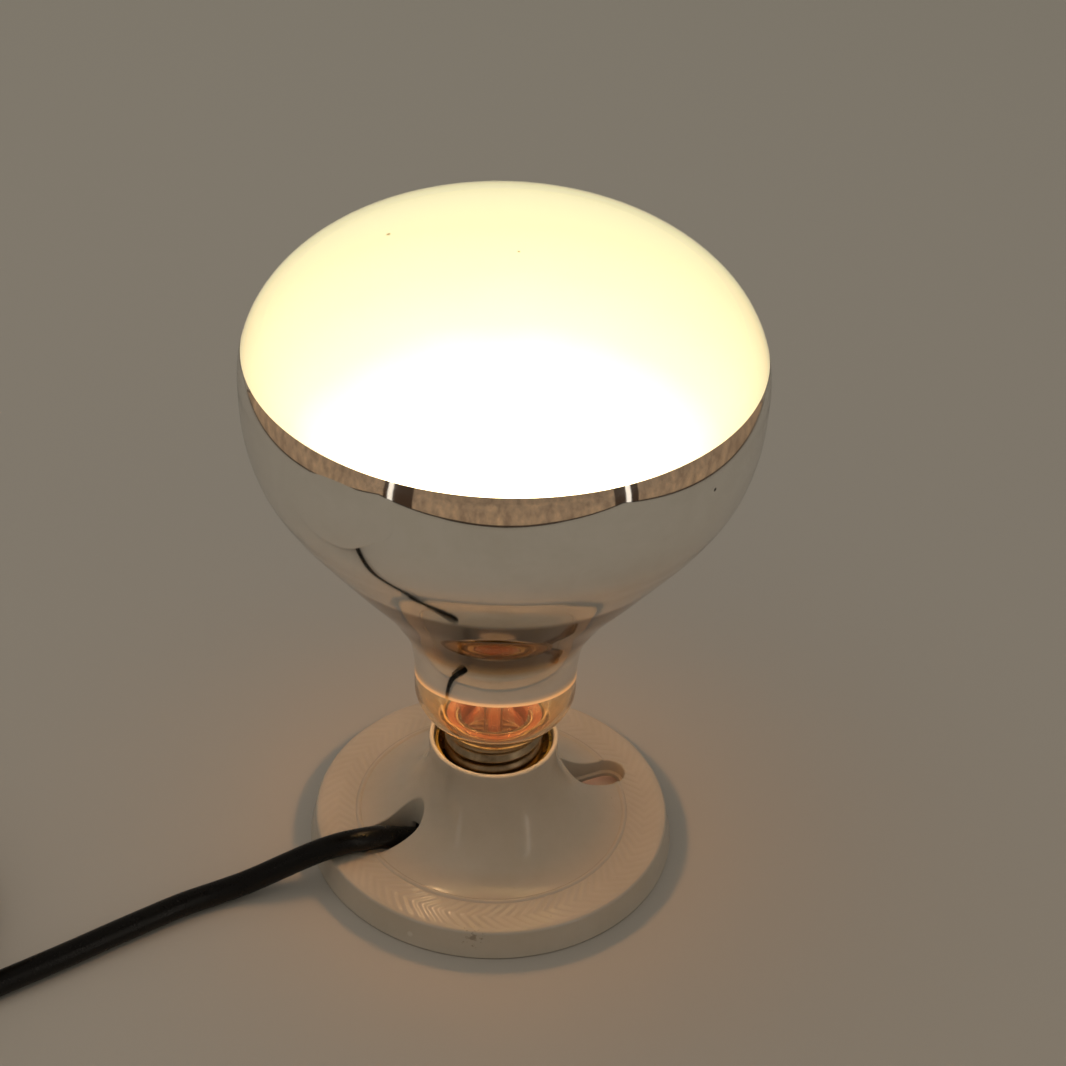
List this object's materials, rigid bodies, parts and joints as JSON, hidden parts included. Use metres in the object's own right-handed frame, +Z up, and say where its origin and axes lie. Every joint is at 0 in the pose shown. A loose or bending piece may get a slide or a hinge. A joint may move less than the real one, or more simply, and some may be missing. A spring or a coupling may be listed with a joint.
{
  "type": "infrared heat lamp",
  "caption": "Mirrored reflector heat bulb screwed upright into a round surface lampholder with a black mains lead, coil and two-pin plug.",
  "frame": {"origin": "centre of the holder's underside, on the surface that the lamp stands on", "axes": "+Z up along the bulb's and the holder's common axis; +X through the free fixing slot, away from the side where the lead comes out"},
  "size_m": [0.3674, 0.1494, 0.1833],
  "materials": {
    "holder_moulding": "glossy moulded urea, warm white",
    "contact_brass": "plain stamped brass",
    "screw_steel": "zinc-plated steel",
    "black_sheath": "smooth black flexible sheath",
    "brown_core": "brown core insulation",
    "blue_core": "blue core insulation",
    "copper": "bare copper strands",
    "tie_strap": "black strap",
    "plug_moulding": "matt black moulded plug",
    "plug_nickel": "nickel-plated pins",
    "bulb_glass": "blown soft glass",
    "mirror_layer": "evaporated aluminium mirror",
    "frost_layer": "white diffusing frost, lit from inside",
    "mount_glass": "clear lead glass",
    "lead_wire": "drawn nickel wire",
    "tungsten": "coiled tungsten, glowing",
    "cap_nickel": "nickel-plated brass",
    "cap_cement": "baked capping cement",
    "cap_glass": "black glass insulator",
    "solder": "soft solder"
  },
  "bodies": {
    "holder": {"holder_body": "holder_moulding", "screw_shell": "contact_brass", "contact_base": "contact_brass", "contact_rivet": "contact_brass", "shell_rivet_front": "contact_brass", "shell_rivet_back": "contact_brass", "live_terminal_plate": "contact_brass", "neutral_terminal_plate": "contact_brass", "live_terminal_screw": "screw_steel", "neutral_terminal_screw": "screw_steel", "cord_inner": "black_sheath", "cord_run": "black_sheath", "cord_coil": "black_sheath", "cord_tail": "black_sheath", "live_core": "brown_core", "neutral_core": "blue_core", "live_strands": "copper", "neutral_strands": "copper", "coil_tie": "tie_strap", "plug_body": "plug_moulding", "plug_relief": "plug_moulding", "plug_pin_1": "plug_nickel", "plug_pin_2": "plug_nickel"},
    "contact_spring": {"contact_tongue": "contact_brass"},
    "bulb_lift": {"cap_contact": "solder"},
    "bulb": {"cap_shell": "cap_nickel", "bulb_glass": "bulb_glass", "mirror_coating": "mirror_layer", "frost_coating": "frost_layer", "cap_insulator": "cap_glass", "cap_cement": "cap_cement", "side_solder": "solder", "glass_stem": "mount_glass", "exhaust_tube": "mount_glass", "lead_wire_centre": "lead_wire", "lead_wire_side": "lead_wire", "glass_rod": "mount_glass", "filament_support_1": "lead_wire", "filament_support_2": "lead_wire", "filament_support_3": "lead_wire", "filament": "tungsten"}
  },
  "joints": [
    {"name": "bulb_lift_slide", "type": "slide", "parent": "holder", "child": "bulb_lift", "axis": [0, 0, 1], "range_m": [0, 0.01815]},
    {"name": "bulb_unscrew", "type": "hinge", "parent": "bulb_lift", "child": "bulb", "pos_m": [0, 0, 0.0407], "axis": [0, 0, 1], "range_deg": [0, 1800]},
    {"name": "contact_flex", "type": "hinge", "parent": "holder", "child": "contact_spring", "pos_m": [0.00575, 0, 0.0103], "axis": [0, -1, 0], "range_deg": [0, 12], "stiffness_Nm_per_rad": 0.05}
  ],
  "couplings": [
    {"joint": "bulb_lift_slide", "follows": "bulb_unscrew", "m_per_rad": 0.00057757}
  ]
}
